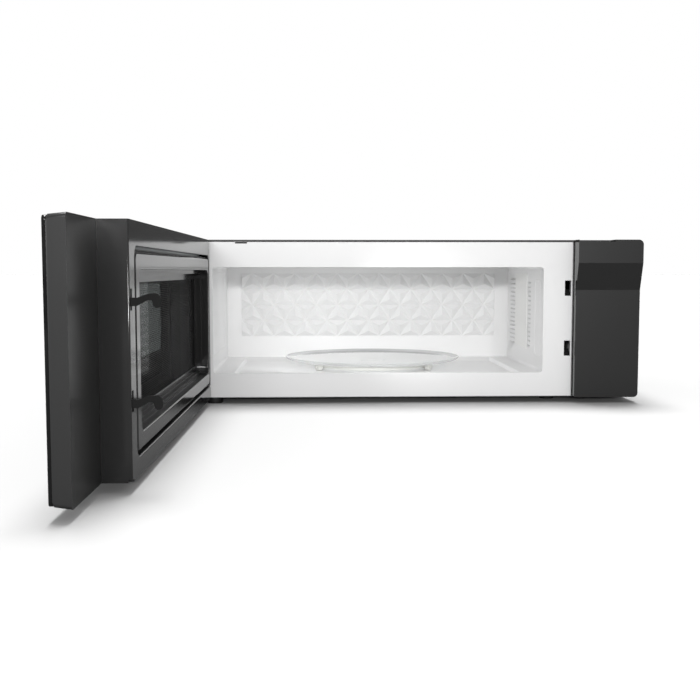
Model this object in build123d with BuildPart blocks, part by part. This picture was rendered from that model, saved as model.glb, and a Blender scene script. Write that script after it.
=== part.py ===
"""Over-the-range microwave oven, standing on its feet with the full-width door swung open.

Millimetres, +Z up, +Y towards the wall. Every piece is drawn with the door shut, X from the
middle of the width, Y from the front frame's white plane and Z from the bottom of the body.
At export the whole body moves forward, so that the row's origin is the middle of the lower
rear edge, where the wall plate's tabs hook in, and the door's pieces swing open.
"""
import os

from build123d import *

os.makedirs("parts", exist_ok=True)

# Body
width = 759.0
height = 260.3
body_depth = 413.5
sheet = 0.8
half = width / 2
inner_half = half - sheet
top_under = height - sheet
rear_inner = body_depth - sheet
hem_low = 256.9

# Cooking cavity and its opening in the front frame
open_left = -325.0
open_right = 222.85
open_low = 40.0
open_high = 215.55
open_radius = 5.0
cav_left = -329.5
cav_right = 226.5
cav_floor = 39.0
cav_ceiling = 216.5
cav_depth = 320.0
cav_radius = 5.0
recess_floor = 33.5
recess_top = (-292.5, 189.0, 22.0, 308.0)
recess_low = (-288.5, 185.0, 34.0, 285.0)
tray_x = -53.4
tray_y = 160.0

# Embossed rear wall of the cavity: rows of triangles, each a low three-sided pyramid
emboss_left = -300.9
emboss_pitch = 41.65
emboss_columns = 12
emboss_low = 81.2
emboss_high = 204.9
emboss_rows = 4
emboss_height = 5.5

# Front frame
frame_right = 271.09
frame_return = 14.0
jog_x = -338.0
jog_depth = 6.0
slot_left = 258.7
slot_right = 268.9
slot_low = 68.2
slot_height = 25.2
latch_pitch = 100.0

# Side panel at the right
panel_left = 272.75
panel_lower_y = -16.2
panel_upper_y = -30.2
panel_break_low = 178.0
panel_break_high = 222.3
panel_wall = 2.5
notch_left = 273.5
notch_right = 333.4
notch_low = 256.6

# Door, shut: t runs forward from its inner face
door_gap = 0.3
door_low = 1.02
door_high = 259.32
inner_right = 269.7
inner_t = 30.8
frame_t = 47.2
land_t = 48.4
land_in = 0.6
glass_t = 51.6
glass_inset = 1.0
glass_half = half - glass_inset
inner_left = -glass_half
glass_low = 3.8
glass_high = 256.8
draft_low = 3.0
draft_high = 257.7
door_wall = 2.5
groove_box = (-367.0, 243.0, 21.0, 234.0)
groove_width = 4.5
groove_t = 14.0
groove_radius = 14.0
groove_lip = 1.5
panel_round = 3.5
plate_thick = 1.2
board_inset = 10.5
board_width = 84.0
board_thick = 1.6
board_t = 45.2
window_box = (-354.0, 218.0, 43.5, 210.5)
window_radius = 12.0
least_radius = 3.0
ledge_outer_t = 11.5
ledge_outer_in = 5.5
ledge_inner_t = 19.5
ledge_inner_in = 14.0
recess_wall = 2.0
recess_lip = 1.6
screen_t = ledge_inner_t + recess_wall
screen_thick = 0.5
clear_box = (-204.0, 165.0, 97.0, 192.5)

# Hinge: arms from the body reach into pockets at the door's corner
hinge_x = -358.0
hinge_t = 29.42
hinge_y = -hinge_t - door_gap
open_angle = 90.7
pin_r = 4.0
pin_clearance = 0.06
arm_half = 4.0
arm_reach = 20.0
arm_neck = -372.0
upper_arm = (249.0, 252.0)
upper_pocket = (244.5, 257.5)
lower_arm = (19.2, 22.7)
lower_pocket = (18.5, 23.0)
block_height = 14.5
pin_depth = 13.0

# Latch hooks on one sliding key
hook_thick = 3.0
hook_x = 264.7
slit_clearance = 0.7
slit_left = 258.4
slit_low = 70.4
slit_high = 91.9
key_lift = 5.8
key_left = 259.0
key_back = 0.3
ledge_top = 78.5
ledge_near = 15.0
ledge_far = 20.6

# Tray, roller ring and drive
tray_r = 157.5
tray_under = 47.6
tray_floor = 51.9
tray_rim = 55.8
roller_r = 7.0
roller_width = 9.0
roller_place = 112.0
roller_z = recess_floor + roller_r + 0.05
axle_r = 2.0
ring_inner = 95.0
ring_outer = 104.0
shaft_r = 3.5
running = 0.06

# Feet
foot_r = 12.5
foot_height = 10.0
foot_places = [(-324.0, 14.0), (243.0, 55.0), (-324.0, 385.0), (318.0, 385.0)]

# Underside: filters, lamps and screws
filter_size = (200.0, 140.0, 9.0)
filter_centres = [(-220.0, 315.0), (115.0, 315.0)]
filter_travel = 8.0
filter_ledge = 6.0
filter_gap = 0.3
lens_size = (120.0, 50.0)
lens_centre = (-53.0, 64.0)
screw_r = 1.9
screw_head_r = 3.6
screw_places = [(-371, 60), (-371, 210), (-371, 350), (371, 60), (371, 210), (371, 350)]
screw_places += [(-120, 407), (150, 407)]

# Top: exhaust outlet, cabinet bolts and cord
outlet_x = 254.0
outlet_y = 82.6
outlet_centre_y = 367.0
bolt_span = 610.0
bolt_y = 120.0
bolt_r = 3.175
cord_place = (335.0, 388.0)
cord_r = 9.0

# Ventilation blower
blower_y = 367.6
blower_z = 212.0
scroll_r = 43.0
scroll_width = 62.0
scroll_centre = 82.0
wheel_r = 35.0
wheel_width = 50.0
blower_shaft_r = 4.0

# Cooling fan
fan_x = 303.0
fan_z = 178.0
fan_r = 54.0
fan_opening_r = 60.0
shroud_y = 360.0
fan_shaft_r = 3.0


def rounded(box, radius, grow=0.0):
    """Rectangle (left, right, low, high) grown by a margin, its corners rounded."""
    left, right, low, high = box
    with Locations(((left + right) / 2, (low + high) / 2)):
        RectangleRounded(right - left + 2 * grow, high - low + 2 * grow, max(radius + grow, least_radius))


def slab(x0, x1, y0, y1, z0, z1, mode=Mode.ADD):
    """Block between two corners, given as X, Y and Z limits."""
    with Locations(((x0 + x1) / 2, (y0 + y1) / 2, (z0 + z1) / 2)):
        Box(x1 - x0, y1 - y0, z1 - z0, mode=mode)


def door_plane(t):
    """Plane parallel to the shut door, t in front of its inner face. Local Y is up."""
    return Plane.XZ.offset(door_gap + t)


def door_slab(x0, x1, t0, t1, z0, z1, mode=Mode.ADD):
    """Block in the shut door, given as X, t and Z limits."""
    slab(x0, x1, -door_gap - t1, -door_gap - t0, z0, z1, mode)


cabinet = {}
door = {}

# Outer cover: one painted sheet wrapped over the top and both sides, hemmed at the front
with BuildPart() as outer_cover:
    with BuildSketch(Plane.XZ.offset(-rear_inner)):
        with Locations((0, height / 2)):
            Rectangle(width, height)
        with Locations((0, top_under / 2 - 1)):
            Rectangle(2 * inner_half, top_under + 2, mode=Mode.SUBTRACT)
    extrude(amount=rear_inner)
    slab(-inner_half, -inner_half + 14, 20, rear_inner, sheet, 2 * sheet)
    slab(inner_half - 14, inner_half, 20, rear_inner, sheet, 2 * sheet)
    slab(jog_x, inner_half, 0, sheet, hem_low, top_under)
    slab(-outlet_x / 2, outlet_x / 2, outlet_centre_y - outlet_y / 2, outlet_centre_y + outlet_y / 2,
         height - 5, height + 5, Mode.SUBTRACT)
    with Locations((cord_place[0], cord_place[1], height)):
        Cylinder(cord_r, 10, mode=Mode.SUBTRACT)
    with Locations((-bolt_span / 2, bolt_y, height), (bolt_span / 2, bolt_y, height)):
        Cylinder(bolt_r + 0.3, 10, mode=Mode.SUBTRACT)
    with Locations(*[(x, y, sheet) for x, y in screw_places[:6]]):
        Cylinder(screw_r + 0.1, 4, mode=Mode.SUBTRACT)
cabinet["outer_cover"] = outer_cover

# Base plate: filter openings, lamp opening and the air intake slots under the magnetron
with BuildPart() as base_plate:
    slab(-inner_half, inner_half, 0, rear_inner, 0, sheet)
    for cx, cy in filter_centres:
        slab(cx - filter_size[0] / 2 + filter_ledge, cx + filter_size[0] / 2 - filter_travel,
             cy - filter_size[1] / 2 + 4, cy + filter_size[1] / 2 - 4, -1, 2, Mode.SUBTRACT)
    slab(lens_centre[0] - lens_size[0] / 2, lens_centre[0] + lens_size[0] / 2,
         lens_centre[1] - lens_size[1] / 2, lens_centre[1] + lens_size[1] / 2, -1, 2, Mode.SUBTRACT)
    with BuildSketch(Plane.XY.offset(-1)):
        with Locations((300, 190)):
            with GridLocations(0, 9, 1, 9):
                SlotOverall(76, 4)
    extrude(amount=3, mode=Mode.SUBTRACT)
    with Locations(*[(x, y, 0) for x, y in screw_places]):
        Cylinder(screw_r + 0.1, 4, mode=Mode.SUBTRACT)
cabinet["base_plate"] = base_plate

# Rear plate, notched at its lower edge for the wall plate's tabs
with BuildPart() as rear_plate:
    slab(-half, half, rear_inner, body_depth, 0, height)
    slab(-270, -230, rear_inner - 1, body_depth + 1, -1, 9, Mode.SUBTRACT)
    slab(230, 270, rear_inner - 1, body_depth + 1, -1, 9, Mode.SUBTRACT)
cabinet["rear_plate"] = rear_plate

# Front frame: white enamelled sheet round the opening, set back at the left for the door's
# corner and at the right behind the side panel
with BuildPart() as front_frame:
    slab(-inner_half, jog_x, jog_depth, jog_depth + sheet, sheet, hem_low)
    slab(jog_x - sheet, jog_x, 0, jog_depth, sheet, hem_low)
    slab(jog_x, frame_right, 0, sheet, sheet, hem_low)
    slab(frame_right - sheet, frame_right, sheet, frame_return, sheet, hem_low)
    slab(frame_right, inner_half, frame_return - sheet, frame_return, sheet, hem_low)
    slab(jog_x, frame_right - sheet, sheet, frame_return, hem_low - sheet, hem_low)
    with BuildSketch(Plane.XZ.offset(-2)):
        rounded((open_left, open_right, open_low, open_high), open_radius)
        for low in (slot_low, slot_low + latch_pitch):
            with Locations(((slot_left + slot_right) / 2, low + slot_height / 2)):
                Rectangle(slot_right - slot_left, slot_height)
        with Locations((-277.85, 255.4)):
            Rectangle(19.7, 2.4)
    extrude(amount=4, mode=Mode.SUBTRACT)
    for low, high in (upper_arm, lower_arm):
        slab(arm_neck - arm_half - 0.5, arm_neck + arm_half + 0.5, 0, 12, low - 0.5, high + 0.5,
             Mode.SUBTRACT)
cabinet["front_frame"] = front_frame

# Black spring clip in the frame's top edge that holds the cover's hem
with BuildPart() as cover_clip:
    slab(-287.7, -268.0, 0, 3, 254.2, hem_low - sheet)
cabinet["cover_clip"] = cover_clip

# Cavity shell: floor, walls and ceiling in one enamelled sheet, with the floor pressed down
# for the roller ring
with BuildPart() as cavity_shell:
    with BuildSketch(Plane.XZ.offset(-cav_depth)):
        rounded((cav_left, cav_right, cav_floor, cav_ceiling), cav_radius, sheet)
    extrude(amount=cav_depth - sheet)
    with BuildSketch(Plane.XY.offset(cav_floor - 0.2)):
        with Locations(((recess_top[0] + recess_top[1]) / 2, (recess_top[2] + recess_top[3]) / 2)):
            Rectangle(recess_top[1] - recess_top[0] + 2 * sheet, recess_top[3] - recess_top[2] + 2 * sheet)
    with BuildSketch(Plane.XY.offset(recess_floor - sheet)):
        with Locations(((recess_low[0] + recess_low[1]) / 2, (recess_low[2] + recess_low[3]) / 2)):
            Rectangle(recess_low[1] - recess_low[0] + 2 * sheet, recess_low[3] - recess_low[2] + 2 * sheet)
    loft()
    with BuildSketch(Plane.XZ.offset(-cav_depth - 1)):
        rounded((cav_left, cav_right, cav_floor, cav_ceiling), cav_radius)
    extrude(amount=cav_depth + 2, mode=Mode.SUBTRACT)
    with BuildSketch(Plane.XY.offset(cav_floor)):
        with Locations(((recess_top[0] + recess_top[1]) / 2, (recess_top[2] + recess_top[3]) / 2)):
            Rectangle(recess_top[1] - recess_top[0], recess_top[3] - recess_top[2])
    with BuildSketch(Plane.XY.offset(recess_floor)):
        with Locations(((recess_low[0] + recess_low[1]) / 2, (recess_low[2] + recess_low[3]) / 2)):
            Rectangle(recess_low[1] - recess_low[0], recess_low[3] - recess_low[2])
    loft(mode=Mode.SUBTRACT)
    slab(*recess_low, recess_floor - 2 * sheet, recess_floor + sheet, Mode.SUBTRACT)
    slab(cav_right - 1, cav_right + 3, 152, 234, 82, 193, Mode.SUBTRACT)
    with BuildSketch(Plane.YZ.offset(cav_right - 1)):
        with Locations((269, 133)):
            with GridLocations(8, 8, 6, 16):
                Circle(1.6)
        with Locations((123.5, 132.5)):
            with GridLocations(8, 8, 3, 15):
                Circle(1.6)
    extrude(amount=3, mode=Mode.SUBTRACT)
cabinet["cavity_shell"] = cavity_shell

# Flat track plate for the rollers, welded into the foot of the recess, with the coupler's hole
with BuildPart() as track_plate:
    slab(*recess_low, recess_floor - sheet, recess_floor)
    with Locations((tray_x, tray_y, recess_floor)):
        Cylinder(9.5, 6, mode=Mode.SUBTRACT)
cabinet["track_plate"] = track_plate

# Rear wall of the cavity with the embossed pattern standing forward
emboss_row_pitch = (emboss_high - emboss_low) / emboss_rows
emboss_right = emboss_left + emboss_columns * emboss_pitch
with BuildPart() as cavity_back:
    slab(cav_left - sheet, cav_right + sheet, cav_depth, cav_depth + sheet,
         cav_floor - sheet, cav_ceiling + sheet)
    for row in range(emboss_rows):
        low = emboss_low + row * emboss_row_pitch
        high = low + emboss_row_pitch
        shift_low = 0.5 if (emboss_rows - row) % 2 == 0 else 0.0
        shift_high = 0.5 - shift_low
        points_low = [emboss_left + (i + shift_low) * emboss_pitch for i in range(emboss_columns + 1)]
        points_high = [emboss_left + (i + shift_high) * emboss_pitch for i in range(emboss_columns + 1)]
        triangles = []
        for i in range(emboss_columns):
            if shift_low:
                triangles.append([(points_high[i], high), (points_high[i + 1], high), (points_low[i], low)])
                triangles.append([(points_low[i], low), (points_low[i + 1], low), (points_high[i + 1], high)])
            else:
                triangles.append([(points_low[i], low), (points_low[i + 1], low), (points_high[i], high)])
                triangles.append([(points_high[i], high), (points_high[i + 1], high), (points_low[i + 1], low)])
        pyramids = [(corners, sum(x for x, z in corners) / 3, sum(z for x, z in corners) / 3)
                    for corners in triangles if max(x for x, z in corners) < emboss_right + 0.01]
        # Each row ends in half a triangle, cut off straight at the pattern's edge
        for edge, inward in ((emboss_left, 0.5 * emboss_pitch), (emboss_right, -0.5 * emboss_pitch)):
            if shift_low:
                pyramids.append(([(edge, high), (edge, low), (edge + inward, low)], edge, low + emboss_row_pitch / 3))
            else:
                pyramids.append(([(edge, low), (edge, high), (edge + inward, high)], edge, high - emboss_row_pitch / 3))
        for corners, peak_x, peak_z in pyramids:
            with BuildSketch(Plane.XZ.offset(-cav_depth - 0.1)) as base_triangle:
                Polygon(*corners, align=None)
            loft([base_triangle.sketch.faces()[0], Vertex(peak_x, cav_depth - emboss_height, peak_z)])
cabinet["cavity_back"] = cavity_back

# Mica cover over the waveguide's mouth
with BuildPart() as waveguide_cover:
    slab(cav_right - 0.8, cav_right, 141, 243.6, 70, 205)
cabinet["waveguide_cover"] = waveguide_cover

# Waveguide duct outside the right wall
with BuildPart() as waveguide:
    slab(cav_right + sheet, 262, 145, 240, 75, 200)
    slab(cav_right - 1, 261, 146, 239, 76, 199, Mode.SUBTRACT)
    with Locations(Location((262, 192.5, 137.5), (0, 90, 0))):
        Cylinder(9, 6, mode=Mode.SUBTRACT)
cabinet["waveguide"] = waveguide

# Magnetron: yoke, cooling fins, antenna through the duct wall and the filter box
with BuildPart() as magnetron:
    slab(262, 263.5, 150, 235, 97, 178)
    slab(263.5, 265, 158, 227, 103, 172)
    slab(322, 323.5, 158, 227, 103, 172)
    slab(263.5, 323.5, 158, 159.5, 103, 172)
    slab(263.5, 323.5, 225.5, 227, 103, 172)
    with Locations(Location((293, 192.5, 137.5), (0, 90, 0))):
        Cylinder(20, 60)
    with Locations(Location((252, 192.5, 137.5), (0, 90, 0))):
        Cylinder(7.5, 21)
    for i in range(7):
        slab(271 + 7 * i, 271.8 + 7 * i, 159, 226, 106, 169)
    slab(323.5, 345, 168, 217, 110, 165)
cabinet["magnetron"] = magnetron

# High-voltage transformer: laminated core, two windings and the foot plate
with BuildPart() as transformer:
    slab(236, 346, 258, 344, sheet, 3)
    slab(243, 339, 268, 334, 3, 80)
    slab(265, 317, 254, 348, 16, 68)
cabinet["transformer"] = transformer

# High-voltage capacitor: oval can with two terminals
with BuildPart() as capacitor:
    with BuildSketch(Plane.XY.offset(sheet)):
        with Locations((300, 80)):
            SlotOverall(54, 34)
    extrude(amount=92)
    with Locations((292, 80, 97), (308, 80, 97)):
        Cylinder(3.2, 9)
cabinet["capacitor"] = capacitor

# Power board on four posts at the right side, with relays and a small transformer
with BuildPart() as power_board:
    slab(368, 369.6, 60, 220, 28, 158)
    slab(338, 368, 70, 104, 40, 72)
    slab(349, 368, 116, 136, 36, 62)
    slab(349, 368, 142, 162, 36, 62)
    slab(349, 368, 168, 188, 36, 62)
    slab(352, 368, 80, 130, 120, 134)
    slab(356, 368, 192, 214, 60, 120)
cabinet["power_board"] = power_board
with BuildPart() as board_posts:
    for y in (66, 214):
        for z in (34, 152):
            with Locations(Location(((369.6 + inner_half) / 2, y, z), (0, 90, 0))):
                Cylinder(3.5, inner_half - 369.6)
cabinet["board_posts"] = board_posts

# Cooling fan: shroud, shaded-pole motor on the rear plate, and the blade with its shaft
with BuildPart() as fan_shroud:
    slab(228.5, inner_half, shroud_y, shroud_y + 1.2, 96, top_under)
    with Locations(Location((fan_x, shroud_y, fan_z), (90, 0, 0))):
        Cylinder(fan_opening_r, 6, mode=Mode.SUBTRACT)
    slab(inner_half - 12, inner_half, shroud_y - 8, shroud_y, 96, 110)
cabinet["fan_shroud"] = fan_shroud
with BuildPart() as fan_motor:
    slab(fan_x - 32, fan_x + 32, 393, 409, fan_z - 28, fan_z + 22)
    slab(fan_x - 18, fan_x + 18, 389, rear_inner, fan_z - 46, fan_z - 28)
    slab(fan_x - 40, fan_x + 40, 409, rear_inner, fan_z - 8, fan_z + 8)
    with Locations(Location((fan_x, 392, fan_z), (90, 0, 0))):
        Cylinder(8, 8)
    with Locations(Location((fan_x, 394, fan_z), (90, 0, 0))):
        Cylinder(fan_shaft_r + running, 28, mode=Mode.SUBTRACT)
cabinet["fan_motor"] = fan_motor
with BuildPart() as cooling_fan:
    with Locations(Location((fan_x, 377, fan_z), (90, 0, 0))):
        Cylinder(13, 18)
    with Locations(Location((fan_x, 388, fan_z), (90, 0, 0))):
        Cylinder(fan_shaft_r, 34)
    for i in range(5):
        with Locations(Location((fan_x, 377, fan_z), (0, 72 * i, 0)) * Location((0, 0, 33), (0, 0, 35))):
            Box(26, 1.6, 42)
cabinet["cooling_fan"] = cooling_fan

# Ventilation blower at the rear: two scrolls open upward to the outlet, a motor between them
for name, side in (("blower_scroll_left", -1), ("blower_scroll_right", 1)):
    middle = side * scroll_centre
    with BuildPart() as scroll:
        with BuildSketch(Plane.YZ.offset(middle - scroll_width / 2)):
            with Locations((blower_y, blower_z)):
                Circle(scroll_r)
            with Locations((blower_y + scroll_r - 24, (blower_z + top_under) / 2)):
                Rectangle(48, top_under - blower_z)
        extrude(amount=scroll_width)
        with BuildSketch(Plane.YZ.offset(middle - scroll_width / 2 + 1)):
            with Locations((blower_y, blower_z)):
                Circle(scroll_r - 1)
            with Locations((blower_y + scroll_r - 24, (blower_z + top_under) / 2 + 1)):
                Rectangle(46, top_under - blower_z + 2)
        extrude(amount=scroll_width - 2, mode=Mode.SUBTRACT)
        with Locations(Location((middle, blower_y, blower_z), (0, 90, 0))):
            Cylinder(27, scroll_width + 4, mode=Mode.SUBTRACT)
        slab(middle - 12, middle + 12, blower_y + scroll_r - 1, rear_inner, blower_z - 6, blower_z + 6)
    cabinet[name] = scroll
with BuildPart() as blower_motor:
    with Locations(Location((0, blower_y, blower_z), (0, 90, 0))):
        Cylinder(32, 70)
        Cylinder(9, 84)
    slab(-24, 24, blower_y, rear_inner, blower_z - 12, blower_z + 12)
    with Locations(Location((0, blower_y, blower_z), (0, 90, 0))):
        Cylinder(blower_shaft_r + running, 90, mode=Mode.SUBTRACT)
cabinet["blower_motor"] = blower_motor
with BuildPart() as blower_rotor:
    with Locations(Location((0, blower_y, blower_z), (0, 90, 0))):
        Cylinder(blower_shaft_r, 2 * scroll_centre + wheel_width)
    for side in (-1, 1):
        with Locations(Location((side * scroll_centre, blower_y, blower_z), (0, 90, 0))):
            Cylinder(wheel_r - 1, 1.6)
            Cylinder(9, 12)
            with PolarLocations(wheel_r - 3, 28):
                Box(5, 0.8, wheel_width)
        for end in (-1, 1):
            place = (side * scroll_centre + end * (wheel_width / 2 - 0.8), blower_y, blower_z)
            with BuildSketch(Plane(origin=place, x_dir=(0, 1, 0), z_dir=(1, 0, 0))):
                Circle(wheel_r)
                Circle(wheel_r - 6, mode=Mode.SUBTRACT)
            extrude(amount=0.8, both=True)
cabinet["blower_rotor"] = blower_rotor

# Tray drive under the floor, coupler, tray, roller ring and rollers
with BuildPart() as tray_motor:
    with Locations((tray_x, tray_y, (12 + recess_floor - sheet) / 2)):
        Cylinder(25, recess_floor - sheet - 12)
    slab(tray_x + 20, tray_x + 34, tray_y - 9, tray_y + 9, 14, 26)
    with Locations((tray_x, tray_y, 28)):
        Cylinder(shaft_r + running, 22, mode=Mode.SUBTRACT)
cabinet["tray_motor"] = tray_motor
with BuildPart() as tray_coupler:
    with Locations((tray_x, tray_y, 31)):
        Cylinder(shaft_r, 26)
    with Locations((tray_x, tray_y, 41.5)):
        Cylinder(8, 11)
    with Locations((tray_x, tray_y, 44.2)):
        with PolarLocations(10, 3):
            Box(16, 7, 6)
cabinet["tray_coupler"] = tray_coupler
with BuildPart() as glass_tray:
    with BuildSketch(Plane.XZ) as tray_profile:
        with BuildLine():
            Polyline((0, tray_under), (138, tray_under), (148, 49.2), (155, 52.4), (tray_r, 54.6),
                     (tray_r, tray_rim - 0.6), (156.6, tray_rim), (154.8, tray_rim), (148, 53.2),
                     (137, tray_floor), (0, tray_floor), close=True)
        make_face()
    revolve(axis=Axis.Z)
    with Locations((0, 0, tray_under - 2)):
        Cylinder(25, 4.4)
        Cylinder(20.5, 4.4, mode=Mode.SUBTRACT)
    with Locations((0, 0, tray_under - 2)):
        with PolarLocations(14, 3, start_angle=60):
            Box(11, 7, 4.4)
tray_place = Location((tray_x, tray_y, 0))
glass_tray.part.locate(tray_place)
cabinet["glass_tray"] = glass_tray
with BuildPart() as roller_ring:
    with BuildSketch(Plane.XY.offset(roller_z - 2.6)):
        Circle(ring_outer)
        Circle(ring_inner, mode=Mode.SUBTRACT)
    extrude(amount=5.2)
    with Locations((0, 0, roller_z)):
        with PolarLocations(roller_place - 1, 3, start_angle=90):
            with Locations(Location((0, 0, 0), (0, 90, 0))):
                Cylinder(axle_r, 16)
roller_ring.part.locate(tray_place)
cabinet["roller_ring"] = roller_ring
for i in range(3):
    with BuildPart() as roller:
        with Locations((0, 0, roller_z)):
            with Locations(Location((0, 0, 0), (0, 0, 90 + 120 * i)) * Location((roller_place, 0, 0), (0, 90, 0))):
                Cylinder(roller_r, roller_width)
                Cylinder(axle_r + running, roller_width + 2, mode=Mode.SUBTRACT)
    roller.part.locate(tray_place)
    cabinet["roller_" + str(i + 1)] = roller

# Latch board behind the frame: a plate with a ramped ledge for each hook
with BuildPart() as latch_board:
    slab(250, 254, sheet, 44, 56, 208)
    slab(254, 270, 40, 44, 56, 208)
    for lift in (0, latch_pitch):
        with BuildSketch(Plane.YZ.offset(254)):
            Polygon((8, 56 + lift), (8, ledge_top + lift - 6.5), (ledge_near, ledge_top + lift),
                    (ledge_far, ledge_top + lift), (ledge_far, 56 + lift), align=None)
        extrude(amount=16)
cabinet["latch_board"] = latch_board
with BuildPart() as interlock_switches:
    for z in (96, 132, 168):
        slab(240, 250, 14, 42, z - 8, z + 8)
cabinet["interlock_switches"] = interlock_switches

# Lamps: one beside the cavity's front grille, two over the cooktop behind a frosted lens
with BuildPart() as cavity_lamp_holder:
    slab(cav_right + sheet, 250, 110, 137, 150, 152)
    slab(248, 250, 110, 137, 110, 152)
    slab(cav_right + sheet, 250, 110, 137, 110, 112)
    with Locations((238, 123.5, 146)):
        Cylinder(7, 8)
cabinet["cavity_lamp_holder"] = cavity_lamp_holder
with BuildPart() as cavity_lamp_bulb:
    with Locations((238, 123.5, 134)):
        Cylinder(6, 16)
    with Locations((238, 123.5, 126)):
        Sphere(6)
cabinet["cavity_lamp_bulb"] = cavity_lamp_bulb
lens_x0 = lens_centre[0] - lens_size[0] / 2
lens_x1 = lens_centre[0] + lens_size[0] / 2
lens_y0 = lens_centre[1] - lens_size[1] / 2
lens_y1 = lens_centre[1] + lens_size[1] / 2
with BuildPart() as cooktop_lens:
    slab(lens_x0 + 0.2, lens_x1 - 0.2, lens_y0 + 0.2, lens_y1 - 0.2, -0.6, 2.2)
    slab(lens_x0 - 4, lens_x1 + 4, lens_y0 - 4, lens_y1 + 4, sheet, 2.2)
cabinet["cooktop_lens"] = cooktop_lens
with BuildPart() as cooktop_lamp_housing:
    slab(lens_x0 - 8, lens_x1 + 8, lens_y0 - 8, lens_y1 + 8, sheet, 30)
    slab(lens_x0 - 7, lens_x1 + 7, lens_y0 - 7, lens_y1 + 7, -1, 29, Mode.SUBTRACT)
cabinet["cooktop_lamp_housing"] = cooktop_lamp_housing
with BuildPart() as cooktop_bulbs:
    for side in (-1, 1):
        with Locations((lens_centre[0] + side * 30, lens_centre[1], 22)):
            Cylinder(8, 14)
        with Locations((lens_centre[0] + side * 30, lens_centre[1], 14)):
            Sphere(8)
cabinet["cooktop_bulbs"] = cooktop_bulbs

# Grease filters on the base plate, held down by channels that leave room to slide out
for name, place in zip(("filter_left", "filter_right"), filter_centres):
    fx0 = place[0] - filter_size[0] / 2
    fx1 = place[0] + filter_size[0] / 2
    fy0 = place[1] - filter_size[1] / 2
    fy1 = place[1] + filter_size[1] / 2
    fz0 = sheet + 0.1
    fz1 = fz0 + filter_size[2]
    with BuildPart() as grease_filter:
        slab(fx0, fx1, fy0, fy1, fz0, fz1)
        slab(fx0 + 8, fx1 - 8, fy0 + 8, fy1 - 8, fz0 - 1, fz0 + 1.5, Mode.SUBTRACT)
        slab(fx0 + 8, fx1 - 8, fy0 + 8, fy1 - 8, fz1 - 1.5, fz1 + 1, Mode.SUBTRACT)
    cabinet[name] = grease_filter
    with BuildPart() as channel:
        slab(fx0 - filter_gap - 1, fx1 + filter_travel + 2, fy0 - filter_gap - 1, fy1 + filter_gap + 1,
             sheet, fz1 + 1.3)
        slab(fx0 - filter_gap, fx1 + filter_travel + 1, fy0 - filter_gap, fy1 + filter_gap,
             sheet - 1, fz1 + filter_gap, Mode.SUBTRACT)
        slab(fx0 + 5, fx1 - 8, fy0 + 5, fy1 - 5, fz1 - 1, fz1 + 5, Mode.SUBTRACT)
    cabinet[name.replace("filter", "filter_channel")] = channel

# Rubber feet, base screws, bolt nuts and the cord bushing
with BuildPart() as feet:
    for x, y in foot_places:
        with Locations((x, y, -foot_height / 2)):
            Cylinder(foot_r, foot_height)
    chamfer(feet.faces().filter_by(GeomType.PLANE).sort_by(Axis.Z)[:4].edges(), 0.8)
cabinet["feet"] = feet
with BuildPart() as base_screws:
    for x, y in screw_places:
        with Locations((x, y, -0.9)):
            Cylinder(screw_head_r, 1.8)
        with Locations((x, y, 2.5)):
            Cylinder(screw_r, 5)
cabinet["base_screws"] = base_screws
with BuildPart() as bolt_nuts:
    for side in (-1, 1):
        with BuildSketch(Plane.XY.offset(top_under - 5.5)):
            with Locations((side * bolt_span / 2, bolt_y)):
                RegularPolygon(6.4, 6)
                Circle(bolt_r, mode=Mode.SUBTRACT)
        extrude(amount=5.5)
cabinet["bolt_nuts"] = bolt_nuts
with BuildPart() as cord_bushing:
    with Locations((cord_place[0], cord_place[1], height + 2)):
        Cylinder(cord_r + 3, 4)
    with Locations((cord_place[0], cord_place[1], height - 4)):
        Cylinder(cord_r - 0.1, 8.2)
    with Locations((cord_place[0], cord_place[1], height)):
        Cylinder(4.2, 30, mode=Mode.SUBTRACT)
cabinet["cord_bushing"] = cord_bushing

# Hinge arms: a plate behind the frame, a goose-neck arm through it and the door's pin
for name, (low, high), up in (("hinge_upper", upper_arm, -1), ("hinge_lower", lower_arm, 1)):
    with BuildPart() as hinge_arm:
        with BuildSketch(Plane.XY.offset(low)):
            Polygon((hinge_x - arm_half - 0.5, hinge_y), (hinge_x - arm_half - 0.5, hinge_y + arm_reach),
                    (arm_neck - arm_half, -1.7), (arm_neck - arm_half, jog_depth + sheet + 2),
                    (arm_neck + arm_half, jog_depth + sheet + 2), (arm_neck + arm_half, 0.3),
                    (hinge_x + arm_half - 0.5, hinge_y + arm_reach), (hinge_x + arm_half - 0.5, hinge_y),
                    align=None)
            with Locations((hinge_x, hinge_y)):
                Circle(6)
        extrude(amount=high - low)
        slab(-inner_half, jog_x - 6, jog_depth + sheet, jog_depth + sheet + 2,
             max(sheet, low - 14), min(hem_low, high + 4 + 10 * (up > 0)))
        if up > 0:
            with Locations((hinge_x, hinge_y, high + pin_depth / 2 - 1)):
                Cylinder(pin_r, pin_depth + 2)
        else:
            with Locations((hinge_x, hinge_y, low - (pin_depth + 5) / 2 + 1)):
                Cylinder(pin_r, pin_depth + 7)
    cabinet[name] = hinge_arm

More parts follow.
